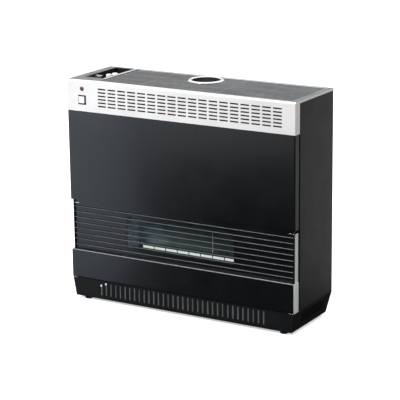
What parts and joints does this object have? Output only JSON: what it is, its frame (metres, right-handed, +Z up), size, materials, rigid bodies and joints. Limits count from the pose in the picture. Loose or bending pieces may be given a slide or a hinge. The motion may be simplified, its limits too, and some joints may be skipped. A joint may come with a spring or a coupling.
{
  "type": "gas room heater",
  "caption": "Flued gas room heater with a glass-fronted fire, guard rods, vented fascia, top grille with flue collar, recessed controls and a slotted base.",
  "frame": {"origin": "on the floor under the centre of the whole footprint", "axes": "+X to the right as one faces the heater, +Y back towards the wall, +Z up"},
  "size_m": [0.7, 0.2194, 0.6265],
  "materials": {
    "silver_paint": "satin silver paint",
    "black_enamel": "gloss black enamel",
    "grey_paint": "satin charcoal paint",
    "grille_paint": "dark grey metallic paint",
    "bright_trim": "bright plated",
    "black_plastic": "matt moulded",
    "white_plastic": "moulded",
    "red_lens": "translucent red",
    "rod_steel": "drawn wire",
    "glass": "clear heat-resisting",
    "ceramic": "matt white",
    "gasket_rope": "woven glass rope",
    "bare_steel": "mill finish",
    "brass": "machined",
    "rubber": "matt"
  },
  "bodies": {
    "heater_body": {"base_pan": "grey_paint", "lower_front_panel": "black_enamel", "upper_front_panel": "black_enamel", "window_surround": "black_enamel", "rod_guard": "rod_steel", "right_side_trim": "silver_paint", "left_side_trim": "silver_paint", "right_side_panel": "grey_paint", "left_side_panel": "grey_paint", "back_panel": "grey_paint", "wall_bracket": "bare_steel", "lower_rail": "bare_steel", "foot_front_left": "rubber", "foot_front_right": "rubber", "foot_rear_left": "rubber", "foot_rear_right": "rubber", "crown_moulding": "silver_paint", "top_grille": "grille_paint", "air_deflector": "bare_steel", "divider_trim": "bright_trim", "control_well": "black_plastic", "flue_ring": "bright_trim", "flue_spigot": "bare_steel", "flue_restrictor": "bare_steel", "piezo_igniter": "black_plastic", "gas_valve": "bare_steel", "switch_bezel": "black_plastic", "lamp_lens": "red_lens", "window_glass": "glass", "glass_gasket": "gasket_rope", "firebox": "bare_steel", "burner_bar": "bare_steel", "burner_injector": "brass", "heat_exchanger": "bare_steel", "draught_hood": "bare_steel", "flame_sensor": "bare_steel", "spark_electrode": "ceramic", "pilot_burner": "brass", "feed_pipe": "brass", "inlet_pipe": "brass", "gas_union": "brass", "mains_inlet": "black_plastic", "blower_housing": "bare_steel", "blower_motor": "bare_steel", "terminal_block": "white_plastic", "ceramic_block_1": "ceramic", "ceramic_block_2": "ceramic", "ceramic_block_3": "ceramic", "ceramic_block_4": "ceramic", "ceramic_block_5": "ceramic", "ceramic_block_6": "ceramic", "ceramic_block_7": "ceramic", "ceramic_block_8": "ceramic"},
    "knob_collar": {"knob_collar": "black_plastic"},
    "gas_knob": {"gas_knob": "bright_trim", "gas_spindle": "bare_steel"},
    "ignition_button": {"ignition_button": "white_plastic"},
    "thermostat_knob": {"thermostat_knob": "bright_trim"},
    "fan_switch": {"fan_switch": "white_plastic"},
    "blower_rotor": {"blower_rotor": "bare_steel"}
  },
  "joints": [
    {"name": "gas_knob_push", "type": "slide", "parent": "heater_body", "child": "knob_collar", "axis": [0, 0, -1], "range_m": [0, 0.004], "stiffness_N_per_m": 1500, "springref_m": -0.002},
    {"name": "gas_knob_turn", "type": "hinge", "parent": "knob_collar", "child": "gas_knob", "pos_m": [-0.2935, -0.0303, 0.61], "axis": [0, 0, 1], "range_deg": [0, 180]},
    {"name": "ignition_press", "type": "slide", "parent": "heater_body", "child": "ignition_button", "axis": [0, 0, -1], "range_m": [0, 0.004], "stiffness_N_per_m": 1500, "springref_m": -0.002},
    {"name": "thermostat_turn", "type": "hinge", "parent": "heater_body", "child": "thermostat_knob", "pos_m": [-0.2935, 0.0467, 0.61], "axis": [0, 0, 1], "range_deg": [0, 270]},
    {"name": "switch_rock", "type": "hinge", "parent": "heater_body", "child": "fan_switch", "pos_m": [-0.30235, -0.1028, 0.569], "axis": [1, 0, 0], "range_deg": [-8, 8]},
    {"name": "blower_spin", "type": "hinge", "parent": "heater_body", "child": "blower_rotor", "pos_m": [-0.02, 0.0337, 0.042], "axis": [1, 0, 0], "continuous": true}
  ]
}
